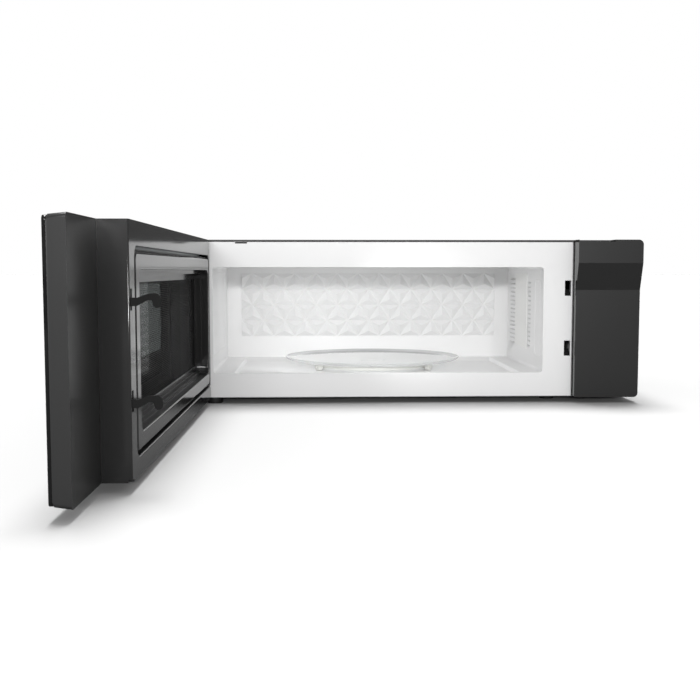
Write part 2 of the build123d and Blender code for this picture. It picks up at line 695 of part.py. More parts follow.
# Side panel: moulded dark panel beside the frame, its upper part standing forward
with BuildPart() as side_panel:
    with BuildSketch(Plane.YZ.offset(panel_left)):
        Polygon((0, 0), (panel_lower_y, 0), (panel_lower_y, panel_break_low),
                (panel_upper_y, panel_break_high), (panel_upper_y, height), (0, height), align=None)
    extrude(amount=half - panel_left)
    fillet(side_panel.edges().filter_by(Axis.Y).group_by(Axis.X)[-1].sort_by(Axis.Z)[-1], 8)
    fillet(side_panel.edges().filter_by(Axis.Y).group_by(Axis.X)[-1].sort_by(Axis.Z)[0], 7)
    with BuildSketch(Plane.YZ.offset(panel_left + panel_wall)):
        Polygon((1, panel_wall), (panel_lower_y + panel_wall, panel_wall),
                (panel_lower_y + panel_wall, panel_break_low + 1),
                (panel_upper_y + panel_wall, panel_break_high + 1),
                (panel_upper_y + panel_wall, height - panel_wall - 1.5), (1, height - panel_wall - 1.5),
                align=None)
    extrude(amount=half - panel_left - 2 * panel_wall, mode=Mode.SUBTRACT)
    slab(notch_left, notch_right, panel_upper_y - 1, 1, notch_low, height + 1, Mode.SUBTRACT)
cabinet["side_panel"] = side_panel

# Door's outer frame: drafted plastic frame behind the glass
pocket = [(-366.5, -1.0), (-366.5, 0.0), (-351.0, 8.0), (-351.0, 37.2), (-372.0, 37.2), (-half - 1.5, 42.0),
          (-half - 1.5, -1.0)]
block_zones = [(upper_pocket[0] - block_height, upper_pocket[0]), (lower_pocket[1], lower_pocket[1] + block_height)]
with BuildPart() as door_outer_frame:
    with BuildSketch(door_plane(inner_t)):
        rounded((-half, half, door_low, door_high), 4)
    with BuildSketch(door_plane(frame_t)):
        rounded((-glass_half, glass_half, draft_low, draft_high), 4)
    loft()
    with BuildSketch(door_plane(frame_t)):
        rounded((-glass_half + land_in, glass_half - land_in, glass_low + land_in, glass_high - land_in), 3.5)
    extrude(amount=land_t - frame_t)
    door_slab(-half + 5, inner_right - 30, inner_t + 3, land_t + 1, 8, 253, Mode.SUBTRACT)
    door_slab(inner_right - 27, half - 5, inner_t + 3, land_t + 1, 8, 253, Mode.SUBTRACT)
    door_slab(-356, 222, inner_t - 1, inner_t + 5, 36, 224, Mode.SUBTRACT)
    with BuildSketch(Plane.XY.offset(upper_pocket[0])):
        Polygon(*[(x, -door_gap - t) for x, t in pocket], align=None)
    extrude(amount=upper_pocket[1] - upper_pocket[0], mode=Mode.SUBTRACT)
    with BuildSketch(Plane.XY.offset(lower_pocket[0])):
        Polygon(*[(x, -door_gap - t) for x, t in pocket], align=None)
    extrude(amount=lower_pocket[1] - lower_pocket[0], mode=Mode.SUBTRACT)
    for low, high in block_zones:
        door_slab(-370, -347, inner_t - 1, 38, low, high, Mode.SUBTRACT)
door["door_outer_frame"] = door_outer_frame

# Door glass and the touch board behind its right end
with BuildPart() as door_glass:
    with BuildSketch(door_plane(land_t)):
        rounded((-glass_half, glass_half, glass_low, glass_high), 4)
    extrude(amount=glass_t - land_t)
door["door_glass"] = door_glass
with BuildPart() as touch_board:
    board_right = glass_half - board_inset
    door_slab(board_right - board_width, board_right, board_t, board_t + board_thick, 20, 238)
    door_slab(board_right - board_width + 8, board_right - 8, board_t + board_thick, land_t, 190, 226)
    door_slab(board_right - board_width + 8, board_right - 8, board_t + board_thick, land_t, 40, 176)
    door_slab(board_right - board_width + 16, board_right - 18, board_t - 5.2, board_t, 60, 90)
door["touch_board"] = touch_board

# Door's inner frame: moulded ring with the groove's outer wall, guides for the latch key
with BuildPart() as door_inner_frame:
    with BuildSketch(door_plane(0)):
        with Locations(((inner_left + inner_right) / 2, (door_low + door_high) / 2)):
            Rectangle(inner_right - inner_left, door_high - door_low)
    extrude(amount=inner_t)
    face_edges = door_inner_frame.edges().filter_by(Axis.Z).group_by(Axis.Y)[-1].sort_by(Axis.X)
    fillet(face_edges[0], 6)
    face_edges = door_inner_frame.edges().filter_by(Axis.Z).group_by(Axis.X)[-1].sort_by(Axis.Y)
    fillet(face_edges[-1], 1.5)
    door_slab(inner_left + door_wall, inner_right - door_wall, door_wall, inner_t + 1,
              door_low + door_wall, door_high - door_wall, Mode.SUBTRACT)
    with BuildSketch(door_plane(0)):
        rounded(groove_box, groove_radius, 1.5)
    extrude(amount=groove_t)
    with BuildSketch(door_plane(-1)):
        rounded(groove_box, groove_radius)
    extrude(amount=groove_t + 2, mode=Mode.SUBTRACT)
    fillet([e for e in door_inner_frame.edges().group_by(Axis.Y)[-1]
            if groove_box[0] - 0.1 < e.center().X < groove_box[1] + 0.1
            and groove_box[2] - 0.1 < e.center().Z < groove_box[3] + 0.1], groove_lip)
    for lift in (0, latch_pitch):
        door_slab(slit_left, hook_x + hook_thick / 2 + slit_clearance, -1, 4,
                  slit_low + lift, slit_high + lift, Mode.SUBTRACT)
    door_slab(key_left - 2, inner_right - door_wall, door_wall, groove_t, 56, 61.7)
    door_slab(key_left - 2, inner_right - door_wall, door_wall, groove_t, 200.6, 205)
    door_slab(263, inner_right + 1, -1, 4.5, 0, 4.2, Mode.SUBTRACT)
    with BuildSketch(Plane.XY.offset(upper_pocket[0])):
        Polygon(*[(x, -door_gap - t) for x, t in pocket], align=None)
    extrude(amount=upper_pocket[1] - upper_pocket[0], mode=Mode.SUBTRACT)
    with BuildSketch(Plane.XY.offset(lower_pocket[0])):
        Polygon(*[(x, -door_gap - t) for x, t in pocket], align=None)
    extrude(amount=lower_pocket[1] - lower_pocket[0], mode=Mode.SUBTRACT)
door["door_inner_frame"] = door_inner_frame

# Choke panel: the raised panel inside the groove, with two ledges down to the window screen
panel_box = (groove_box[0] + groove_width, groove_box[1] - groove_width,
             groove_box[2] + groove_width, groove_box[3] - groove_width)
with BuildPart() as choke_panel:
    with BuildSketch(door_plane(0)):
        rounded(panel_box, groove_radius - groove_width)
    extrude(amount=groove_t)
    fillet(choke_panel.edges().group_by(Axis.Y)[-1], panel_round)
    with BuildSketch(door_plane(2)):
        rounded((panel_box[0] + 1.5, panel_box[1] - 1.5, panel_box[2] + 1.5, panel_box[3] - 1.5),
                groove_radius - groove_width - 1.5)
    extrude(amount=groove_t, mode=Mode.SUBTRACT)
    with BuildSketch(door_plane(0)):
        rounded(window_box, window_radius, recess_wall)
    extrude(amount=ledge_outer_t + recess_wall)
    with BuildSketch(door_plane(ledge_outer_t)):
        rounded(window_box, window_radius, recess_wall - ledge_outer_in)
    extrude(amount=screen_t - ledge_outer_t)
    with BuildSketch(door_plane(-1)):
        rounded(window_box, window_radius)
    extrude(amount=ledge_outer_t + 1, mode=Mode.SUBTRACT)
    with BuildSketch(door_plane(-1)):
        rounded(window_box, window_radius, -ledge_outer_in)
    extrude(amount=ledge_inner_t + 1, mode=Mode.SUBTRACT)
    with BuildSketch(door_plane(-1)):
        rounded(window_box, window_radius, -ledge_inner_in)
    extrude(amount=screen_t + 2, mode=Mode.SUBTRACT)
    fillet([e for e in choke_panel.edges().group_by(Axis.Y)[-1]
            if window_box[0] - 0.1 < e.center().X < window_box[1] + 0.1
            and window_box[2] - 0.1 < e.center().Z < window_box[3] + 0.1], recess_lip)
door["choke_panel"] = choke_panel

# Steel door plate behind the groove, tying ring and panel together
with BuildPart() as door_plate:
    door_slab(inner_left + door_wall, inner_right - door_wall, groove_t, groove_t + plate_thick,
              door_low + door_wall, door_high - door_wall)
    with BuildSketch(door_plane(groove_t - 1)):
        rounded(window_box, window_radius, recess_wall - ledge_outer_in + 0.5)
    extrude(amount=plate_thick + 2, mode=Mode.SUBTRACT)
    for low, high in (upper_pocket, lower_pocket):
        door_slab(-half - 0.5, -349, groove_t - 1, groove_t + plate_thick + 1, low - 0.5, high + 0.5, Mode.SUBTRACT)
door["door_plate"] = door_plate

# Perforated window screen behind the inner ledge
with BuildPart() as window_screen:
    with BuildSketch(door_plane(screen_t)):
        rounded(window_box, window_radius, recess_wall - ledge_outer_in)
    extrude(amount=screen_thick)
door["window_screen"] = window_screen

# Hinge blocks that carry the pins' bores
with BuildPart() as hinge_blocks:
    for low, high in block_zones:
        door_slab(-369, -348, groove_t + plate_thick, 37.8, low, high)
    with Locations((hinge_x, hinge_y, height / 2)):
        Cylinder(pin_r + pin_clearance, height, mode=Mode.SUBTRACT)
door["hinge_blocks"] = hinge_blocks

# Latch key: one bar inside the door with both hooks reaching out through the slits
hook_outline = [(4.0, 74.9), (-5.7, 74.9), (-16.6, 80.7), (-20.6, 80.7), (-22.0, 75.4), (-24.0, 73.1),
                (-27.4, 73.4), (-29.0, 74.8), (-30.4, 80.0), (-28.9, 84.5), (-26.4, 87.1), (-24.0, 87.6),
                (-17.6, 87.3), (-6.5, 83.2), (4.0, 83.2)]
with BuildPart() as latch_key:
    door_slab(key_left, hook_x + hook_thick / 2, door_wall + key_back, groove_t - key_back, 62, 194.4)
    for lift in (0, latch_pitch):
        with BuildSketch(Plane.YZ.offset(hook_x - hook_thick / 2)):
            Polygon(*[(-door_gap - t, z + lift) for t, z in hook_outline], align=None)
        extrude(amount=hook_thick)
door["latch_key"] = latch_key

# Export: the body moves so that the wall edge is the origin, the door swings open first
to_wall = Location((0, -body_depth, 0))
swing = Location((hinge_x, hinge_y, 0)) * Location((0, 0, 0), (0, 0, -open_angle)) * Location((-hinge_x, -hinge_y, 0))
for name, piece in cabinet.items():
    shape = piece.part.moved(to_wall)
    shape.label = name
    export_step(shape, "parts/" + name + ".step")
for name, piece in door.items():
    shape = piece.part.moved(to_wall * swing)
    shape.label = name
    export_step(shape, "parts/" + name + ".step")
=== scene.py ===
import math

import bpy
import numpy as np
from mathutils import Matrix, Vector


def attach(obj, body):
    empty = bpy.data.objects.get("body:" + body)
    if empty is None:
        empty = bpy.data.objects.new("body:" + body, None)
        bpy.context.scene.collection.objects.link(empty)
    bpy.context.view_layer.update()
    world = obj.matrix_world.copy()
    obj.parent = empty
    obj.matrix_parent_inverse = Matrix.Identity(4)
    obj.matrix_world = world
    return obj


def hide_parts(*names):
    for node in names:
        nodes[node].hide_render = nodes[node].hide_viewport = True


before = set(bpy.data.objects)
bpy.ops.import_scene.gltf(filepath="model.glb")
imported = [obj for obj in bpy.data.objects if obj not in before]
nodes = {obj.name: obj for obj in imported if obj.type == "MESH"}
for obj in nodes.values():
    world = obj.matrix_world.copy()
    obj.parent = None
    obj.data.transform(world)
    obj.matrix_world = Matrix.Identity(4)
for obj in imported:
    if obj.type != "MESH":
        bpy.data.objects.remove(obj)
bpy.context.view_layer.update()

# Front frame. One sheet of steel, blanked, folded and coated with white vitreous enamel. It is
# the face that the door shuts against, with two slots for the hooks. The enamel is hard and
# even, with an orange peel so faint that it only softens reflections.
double_gap = 2e-6


def linear(hex_colour):
    """sRGB hex to linear RGBA: each channel divided by 12.92 below 0.04045, else the 2.4 power curve."""
    c = np.array([int(hex_colour[i:i + 2], 16) / 255 for i in (1, 3, 5)])
    c = np.where(c <= 0.04045, c / 12.92, ((c + 0.055) / 1.055) ** 2.4)
    return (*c, 1.0)


def add(material, kind, inputs=None, **settings):
    """Adds one node: settings are its properties, inputs its sockets by name or number, each
    given a value or the output that feeds it."""
    node = material.node_tree.nodes.new(kind)
    for name, value in settings.items():
        setattr(node, name, value)
    for name, value in (inputs or {}).items():
        if isinstance(value, bpy.types.NodeSocket):
            material.node_tree.links.new(value, node.inputs[name])
        else:
            node.inputs[name].default_value = value
    return node


def empty_material(name):
    """Material with no nodes in it yet."""
    m = bpy.data.materials.new(name)
    m.use_nodes = True
    m.node_tree.nodes.clear()
    return m


def finish_material(name, colour, rough, metal=0.0, level=0.5, grain_mm=2.0, grain_depth=0.005,
                    tint=0.02, rough_spread=0.03):
    """Shader for one finish. A fine noise with cells of grain_mm lifts the surface by grain_depth
    mm at half strength, and a broad one with 14 cells to the metre, about 7 cm each, shifts the
    colour by tint and the roughness by rough_spread."""
    m = empty_material(name)
    place = add(m, "ShaderNodeTexCoord").outputs["Object"]
    broad_cells = {"Vector": place, "Scale": 14.0, "Detail": 4.0}
    broad = add(m, "ShaderNodeTexNoise", broad_cells).outputs["Fac"]
    fine_cells = {"Vector": place, "Scale": 1000 / grain_mm, "Detail": 3.0}
    fine = add(m, "ShaderNodeTexNoise", fine_cells).outputs["Fac"]
    base = np.array(linear(colour))[:3]
    darker, lighter = base * (1 - tint), np.minimum(base * (1 + tint), 1)
    shade = add(m, "ShaderNodeMix", {0: broad, 6: (*darker, 1), 7: (*lighter, 1)}, data_type="RGBA")
    spread = add(m, "ShaderNodeMapRange", {"Value": broad, "To Min": rough - rough_spread,
                                           "To Max": rough + rough_spread})
    bump = add(m, "ShaderNodeBump", {"Height": fine, "Strength": 0.5, "Distance": grain_depth / 1000})
    shader = add(m, "ShaderNodeBsdfPrincipled", {
        "Base Color": shade.outputs[2], "Roughness": spread.outputs["Result"], "Metallic": metal,
        "Specular IOR Level": level, "Normal": bump.outputs["Normal"]})
    add(m, "ShaderNodeOutputMaterial", {"Surface": shader.outputs["BSDF"]})
    return m


def dress(names, material, bevel_mm=0.0, angle=35):
    """Gives CAD nodes their material and, where asked, merges their doubles and rounds by
    bevel_mm the edges that turn by more than angle degrees."""
    for name in names.split():
        o = nodes[name]
        o.data.materials.clear()
        o.data.materials.append(material)
        if bevel_mm:
            weld = o.modifiers.new("weld", "WELD")
            weld.merge_threshold = double_gap
            bevel = o.modifiers.new("soft edges", "BEVEL")
            bevel.width = bevel_mm / 1000
            bevel.segments = 3
            bevel.limit_method = "ANGLE"
            bevel.angle_limit = math.radians(angle)
            bevel.harden_normals = True


white_enamel = finish_material("white vitreous enamel on steel", "#ececec", 0.32, level=0.35,
                               grain_mm=9.0, grain_depth=0.004, tint=0.004, rough_spread=0.02)
dress("front_frame", white_enamel, 0.35)

# Cavity shell and its track plate. Folded from enamelled sheet like the front frame and spot
# welded to it. The floor is pressed down to carry the roller ring, and the right wall has two
# strips of punched holes, one before the fan duct and one over the lamp.
body_depth = 413.5
cavity_left, cavity_right = -329.5, 226.5
edge_under_wall = 0.02
cavity_enamel = finish_material("white cavity enamel on steel", "#f4f4f4", 0.36, level=0.8,
                                grain_mm=9.0, grain_depth=0.003, tint=0.004, rough_spread=0.02)
dress("cavity_shell", cavity_enamel, 0.6)
dress("track_plate", cavity_enamel)


def new_piece(name, points, faces, material, body, smooth=True):
    """Object from millimetre points of the body frame, whose rear is at Y body_depth, that rides
    on a body. Faces is one array with a row of corner numbers for each face, and smooth is one
    flag for all of them or one for each."""
    p = np.asarray(points, float).reshape(-1, 3) / 1000 - (0, body_depth / 1000, 0)
    faces = np.asarray(faces, np.int32)
    mesh = bpy.data.meshes.new(name)
    mesh.vertices.add(len(p))
    mesh.vertices.foreach_set("co", p.astype(np.float32).ravel())
    mesh.loops.add(faces.size)
    mesh.loops.foreach_set("vertex_index", faces.ravel())
    mesh.polygons.add(len(faces))
    mesh.polygons.foreach_set("loop_start", np.arange(len(faces), dtype=np.int32) * faces.shape[1])
    mesh.polygons.foreach_set("use_smooth", np.full(len(faces), smooth))
    mesh.update()
    mesh.validate()
    mesh.materials.append(material)
    o = bpy.data.objects.new(name, mesh)
    bpy.context.collection.objects.link(o)
    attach(o, body)
    return o


def grid_faces(rows, columns, close_rows=False, close_columns=False):
    """Quads of a rows x columns grid of points, joined end to end where closed."""
    r = np.arange(rows if close_rows else rows - 1)
    c = np.arange(columns if close_columns else columns - 1)
    i, j = np.meshgrid(r, c, indexing="ij")
    i2, j2 = (i + 1) % rows, (j + 1) % columns
    quads = [i * columns + j, i * columns + j2, i2 * columns + j2, i2 * columns + j]
    return np.stack(quads, -1).reshape(-1, 4)


def rounded_path(u0, u1, v0, v1, radius, per_corner=9):
    """Closed rounded rectangle: points (u, v) counter-clockwise and the outward normal at each.
    Each corner is a quarter circle: centre plus radius times cosine and sine of its angle."""
    a = np.linspace(0, math.pi / 2, per_corner)
    angle = np.concatenate([a + k * math.pi / 2 for k in range(4)])
    cu = np.repeat([u1 - radius, u0 + radius, u0 + radius, u1 - radius], per_corner)
    cv = np.repeat([v1 - radius, v1 - radius, v0 + radius, v0 + radius], per_corner)
    n = np.stack([np.cos(angle), np.sin(angle)], -1)
    return np.stack([cu, cv], -1) + radius * n, n


def pressed_line(name, wall_x, side, box, radius, width, height):
    """Raised line on a side wall, round box (front, back, low, high). Across its width it rises
    by height times the squared cosine, from edge_under_wall below the wall's face."""
    path, normal = rounded_path(*box, radius)
    s = np.linspace(-0.5, 0.5, 9)
    lift = height * np.cos(math.pi * s) ** 2 - edge_under_wall
    yz = path[:, None, :] + normal[:, None, :] * (s * width)[None, :, None]
    x = np.broadcast_to(wall_x + side * lift, yz.shape[:2])
    points = np.concatenate([x[..., None], yz], -1)
    new_piece(name, points, grid_faces(len(path), len(s), True), cavity_enamel, "cabinet")


pressed_line("lamp_cover_outline", cavity_right, -1, (36, 76, 64, 193), radius=7, width=3.2, height=0.7)
pressed_line("wall_panel_outline", cavity_left, 1, (16, 262, 66, 205), radius=9, width=2.2, height=0.9)

# Embossed rear wall of the cavity. Pressed from a sheet of its own, its facets flat with edges
# just softened. Its white is painted a shade greyer than the walls': painted shade for the
# dimmer light at the back of the cavity, which also lets the facets stand out.
shaded_back_enamel = finish_material("white enamel on pressed steel, greyed as painted shade", "#e8e8e8", 0.3, level=0.9,
                              grain_mm=9.0, grain_depth=0.002, tint=0.004, rough_spread=0.02)
dress("cavity_back", shaded_back_enamel, 0.2, 3)

# Waveguide cover. A thin sheet of pale mica board over the microwave inlet, cut with a knife
# and held flush in the right wall.
mica = finish_material("pale mica board", "#f8f8f6", 0.4, level=0.8,
                       grain_mm=1.2, grain_depth=0.01, tint=0.015)
dress("waveguide_cover", mica, 0.2)

# Outer cover. A sheet of steel wrapped over the top and both sides and hemmed at the front,
# powder coated in a satin dark grey with a very fine grain.
dark_paint = finish_material("satin dark grey powder coat on steel", "#2b2b2b", 0.45, level=0.4,
                             grain_mm=0.9, grain_depth=0.012)
dress("outer_cover", dark_paint, 0.25)

# Plain sheet and machine parts behind the skin: base, rear plate, ducts, motors, transformer,
# filter channels and the door's plate. Hot-dip galvanised steel, bare, with a soft mottled
# sheen. The two hinge arms are stamped from thicker steel and phosphated black.
zinc = finish_material("galvanised steel sheet", "#9da0a2", 0.42, metal=1.0,
                       grain_mm=5.0, grain_depth=0.006, tint=0.09, rough_spread=0.08)
dress("base_plate rear_plate waveguide magnetron transformer fan_shroud fan_motor blower_scroll_left"
      " blower_scroll_right blower_motor cavity_lamp_holder cooktop_lamp_housing filter_channel_left"
      " filter_channel_right door_plate", zinc, 0.15)
dark_steel = finish_material("black phosphated steel", "#202122", 0.4, metal=0.6,
                             grain_mm=1.0, grain_depth=0.006)
dress("hinge_upper hinge_lower", dark_steel, 0.3)

# Side panel. Injection moulded in dark grey plastic with a satin skin. Its upper part stands
# forward as a hand hold, and its left wall is polished by the mould.
satin_plastic = finish_material("satin moulded plastic, dark grey", "#202020", 0.34, level=0.4,
                                grain_mm=0.7, grain_depth=0.004)


def vary_with_normal(material, axis, start, end, levels):
    """Lets sockets of the shader follow one axis of the Object normal: each goes in a straight
    line from its first level, where the axis is at start, to its second at end."""
    shader = next(n for n in material.node_tree.nodes if n.type == "BSDF_PRINCIPLED")
    normal = add(material, "ShaderNodeTexCoord").outputs["Normal"]
    along_axis = add(material, "ShaderNodeSeparateXYZ", {0: normal}).outputs[axis]
    for socket, at_start, at_end in levels:
        span = {"Value": along_axis, "From Min": start, "From Max": end, "To Min": at_start, "To Max": at_end}
        follow = add(material, "ShaderNodeMapRange", span).outputs["Result"]
        material.node_tree.links.new(follow, shader.inputs[socket])


vary_with_normal(satin_plastic, "X", -0.95, -0.8, [("Roughness", 0.07, 0.34)])
dress("side_panel", satin_plastic, 0.5)

# Door's outer frame. The deep moulded tray behind the glass, the same dark grey plastic but
# with a smoother skin, so that its back mirrors what stands beside it.
smooth_plastic = finish_material("smooth moulded plastic, dark grey", "#292929", 0.3, level=0.5,
                                 grain_mm=1.5, grain_depth=0.002, rough_spread=0.02)
dress("door_outer_frame", smooth_plastic, 1.5)

# Door's inner frame and choke panel. Two mouldings in glossy dark grey plastic that make the
# door's inner face: the flat ring, the groove of the choke and the panel in it. The mould is
# polished but for the ledges that lie flat, which are satin, so they don't mirror the frame.
gloss_plastic = finish_material("glossy moulded plastic, dark grey", "#252525", 0.1, level=0.55,
                                grain_mm=6.0, grain_depth=0.0015, tint=0.01, rough_spread=0.01)
vary_with_normal(gloss_plastic, "Z", 0.8, 0.98,
                 [("Roughness", 0.1, 0.45), ("Specular IOR Level", 0.55, 0.15)])
dress("door_inner_frame choke_panel", gloss_plastic, 1.1)

# Choke comb. A strip of pressed steel fingers that stands in the groove all round the panel
# and keeps the microwaves in. Each finger leans a little and its tip is folded inward.
door_swing = math.radians(90.7)
hinge_x, hinge_y = -358.0, -29.72
face_gap = 0.3
groove_left, groove_right, groove_low, groove_high = -367, 243, 21, 234
comb_inset, comb_radius = 3.1, 10.9
finger_pitch, finger_start, finger_end = 11.0, 0.14, 0.86
finger_root, finger_height, finger_lean = 13.9, 10, 4.0


def door_place(x, t, z):
    """Points of the shut door (X across, t into the door from its inner face, Z up) swung open
    about the hinge: X' = hinge + dx cos + dy sin, Y' = hinge - dx sin + dy cos."""
    c, s = math.cos(door_swing), math.sin(door_swing)
    dx, dy = np.asarray(x) - hinge_x, -face_gap - np.asarray(t) - hinge_y
    z = np.broadcast_to(z, np.broadcast(dx, dy, z).shape)
    return np.stack(np.broadcast_arrays(hinge_x + dx * c + dy * s, hinge_y - dx * s + dy * c, z), -1)


path, outward = rounded_path(groove_left + comb_inset, groove_right - comb_inset,
                             groove_low + comb_inset, groove_high - comb_inset, comb_radius, 5)
step = np.diff(np.vstack([path, path[:1]]), axis=0)
run = np.concatenate([[0], np.cumsum(np.hypot(*step.T))])
count = int(run[-1] / finger_pitch)
ends = (np.arange(count)[:, None] + np.array([finger_start, finger_end])) * run[-1] / count


def along(distance, shift):
    """Point of the groove's path at a distance along it, moved outward by shift."""
    loop = np.vstack([path, path[:1]])
    ring = np.vstack([outward, outward[:1]])
    return np.stack([np.interp(distance, run, loop[:, k] + shift * ring[:, k]) for k in (0, 1)], -1)


# A finger's section, as depth in the door and shift outward, from root to folded tip and back
section = np.array([(finger_root, 0.35), (5.6, 0.35), (4.4, 0.1), (3.9, -0.5), (3.9, -1.1), (4.3, -1.1),
                    (4.3, -0.5), (4.7, -0.1), (5.7, 0.0), (finger_root, 0.0)])
lean = finger_lean * (finger_root - section[:, 0]) / finger_height
across_up = np.stack([along(ends + lean[k], section[k, 1]) for k in range(len(section))], 2)
points = door_place(across_up[..., 0], section[:, 0], across_up[..., 1])
finger = grid_faces(2, len(section), False, True)
comb_faces = (finger[None] + (np.arange(count) * 2 * len(section))[:, None, None]).reshape(-1, 4)
comb_steel = finish_material("pressed comb, black coated steel", "#3a3a3a", 0.35, metal=0.3)
new_piece("choke_comb", points, comb_faces, comb_steel, "door", smooth=False)

# Window screen. A thin steel sheet, black, punched with close rows of small round holes, behind
# the panel's inner ledge. It looks black face on and grey with light behind it. The pitch of
# its holes is chosen so that their rows show in the render.
screen_pitch, screen_hole = 2.74 / 1000, 1.02 / 1000


def door_coordinates(m):
    """Object coordinates turned back to the shut door, in metres: X across, Z up."""
    place = add(m, "ShaderNodeTexCoord").outputs["Object"]
    to_hinge = (-hinge_x / 1000, (body_depth - hinge_y) / 1000, 0)
    centred = add(m, "ShaderNodeVectorMath", {0: place, 1: to_hinge}, operation="ADD").outputs[0]
    turned = add(m, "ShaderNodeMapping", {"Vector": centred, "Rotation": (0, 0, door_swing),
                                          "Location": (hinge_x / 1000, 0, 0)}).outputs[0]
    xyz = add(m, "ShaderNodeSeparateXYZ", {0: turned})
    return xyz.outputs["X"], xyz.outputs["Z"]


def punched(m, across, up, pitch, radius):
    """One inside the holes of a staggered punching, else zero. Two lattices of cells pitch wide
    and pitch times root three high, half a cell apart; a hole is where the distance to either
    cell's middle is under the radius."""
    reach = []
    for shift in (0.0, 0.5):
        parts = []
        for value, cell in ((across, pitch), (up, pitch * math.sqrt(3))):
            in_cells = {0: value, 1: 1 / cell, 2: shift}
            cells = add(m, "ShaderNodeMath", in_cells, operation="MULTIPLY_ADD").outputs[0]
            share = add(m, "ShaderNodeMath", {0: cells}, operation="FRACT").outputs[0]
            from_middle = {0: share, 1: cell, 2: -cell / 2}
            off = add(m, "ShaderNodeMath", from_middle, operation="MULTIPLY_ADD").outputs[0]
            parts.append(add(m, "ShaderNodeMath", {0: off, 1: 2.0}, operation="POWER").outputs[0])
        reach.append(add(m, "ShaderNodeMath", {0: parts[0], 1: parts[1]}, operation="ADD").outputs[0])
    near = add(m, "ShaderNodeMath", {0: reach[0], 1: reach[1]}, operation="MINIMUM").outputs[0]
    return add(m, "ShaderNodeMath", {0: near, 1: radius ** 2}, operation="LESS_THAN").outputs[0]


screen = empty_material("punched black steel screen")
across, up = door_coordinates(screen)
holes = punched(screen, across, up, screen_pitch, screen_hole)
sheet = add(screen, "ShaderNodeBsdfPrincipled", {"Base Color": linear("#0f0f0f"), "Roughness": 0.6,
                                                  "Specular IOR Level": 0.15}).outputs["BSDF"]
open_hole = add(screen, "ShaderNodeBsdfTransparent").outputs["BSDF"]
both = add(screen, "ShaderNodeMixShader", {"Fac": holes, 1: sheet, 2: open_hole}).outputs["Shader"]
add(screen, "ShaderNodeOutputMaterial", {"Surface": both})
dress("window_screen", screen)

# Door glass. Toughened glass printed black on its inner side, but for a clear window, with
# ground edges. The print makes it a dark mirror from outside.
window_across, window_up = (-0.204, 0.165), (0.097, 0.1925)


def outer_shine(m, ior):
    """Share of the light that a sheet's outer side mirrors, by the Fresnel law. Its inner side
    mirrors nothing, so that a see-through sheet isn't bright twice."""
    fresnel = add(m, "ShaderNodeFresnel", {"IOR": ior}).outputs[0]
    inner = add(m, "ShaderNodeNewGeometry").outputs["Backfacing"]
    outer = add(m, "ShaderNodeMath", {0: 1.0, 1: inner}, operation="SUBTRACT").outputs[0]
    return add(m, "ShaderNodeMath", {0: fresnel, 1: outer}, operation="MULTIPLY").outputs[0]


door_glass = empty_material("black printed toughened glass")
across, up = door_coordinates(door_glass)
inside = []
for value, (low, high) in ((across, window_across), (up, window_up)):
    within = {0: value, 1: (low + high) / 2, 2: (high - low) / 2}
    inside.append(add(door_glass, "ShaderNodeMath", within, operation="COMPARE").outputs[0])
window = add(door_glass, "ShaderNodeMath", {0: inside[0], 1: inside[1]}, operation="MULTIPLY").outputs[0]
black_print = {"Base Color": linear("#060606"), "Roughness": 0.04}
gloss = add(door_glass, "ShaderNodeBsdfPrincipled", black_print).outputs["BSDF"]
clear = add(door_glass, "ShaderNodeBsdfTransparent", {"Color": linear("#a4a8a7")}).outputs["BSDF"]
shine = add(door_glass, "ShaderNodeBsdfGlossy", {"Roughness": 0.03}).outputs["BSDF"]
edge_on = outer_shine(door_glass, 1.45)
pane = add(door_glass, "ShaderNodeMixShader", {"Fac": edge_on, 1: clear, 2: shine}).outputs["Shader"]
both = add(door_glass, "ShaderNodeMixShader", {"Fac": window, 1: gloss, 2: pane}).outputs["Shader"]
add(door_glass, "ShaderNodeOutputMaterial", {"Surface": both})
dress("door_glass", door_glass, 0.4)

# Latch key with its two hooks, latch board, switches, clip, bushing, posts and fan. Black or
# dark grey nylon, moulded, with a dull even skin.
nylon = finish_material("moulded nylon, near black", "#202020", 0.75, level=0.1,
                        grain_mm=0.6, grain_depth=0.006)
dress("latch_key", nylon, 0.5)
dress("cover_clip latch_board interlock_switches cord_bushing board_posts cooling_fan", nylon, 0.2)

# Glass tray. Pressed from clear heat-proof glass: a flat floor, a shallow cove and a rounded
# rim, with a foot ring and three lugs under it for the coupler.
tray_x, tray_y = -53.4, 160.0
foot_low, tray_under, tray_floor = 43.4, 47.6, 51.9
lug_near, lug_far, lug_half, lug_sunk = 8.5, 19.5, 3.5, 0.2
lug_angles = [60, 180, 300]
tray_profile = np.array([
    (0.0, tray_under), (20.4, tray_under), (20.5, 47.4), (20.5, 43.6), (20.7, foot_low),
    (24.8, foot_low), (25.0, 43.6), (25.0, 47.4), (25.1, tray_under), (60, tray_under),
    (100, tray_under), (128, 47.62), (138, 47.75), (145, 48.4), (150.5, 49.8),
    (154.4, 51.6), (156.8, 53.5), (157.5, 54.7), (157.35, 55.4), (156.8, 55.75), (156.1, 55.8),
    (155.3, 55.6), (154.2, 54.8), (152.0, 53.6), (148.5, 52.7), (144, 52.1), (138, tray_floor),
    (128, tray_floor), (100, tray_floor), (60, tray_floor), (0.0, tray_floor)])
angle = np.linspace(0, 2 * math.pi, 144, endpoint=False)
radius, height = tray_profile[:, 0:1], tray_profile[:, 1:2]
bowl = np.stack([tray_x + radius * np.cos(angle), tray_y + radius * np.sin(angle), height + 0 * angle], -1)
bowl_faces = grid_faces(len(tray_profile), len(angle), False, True)

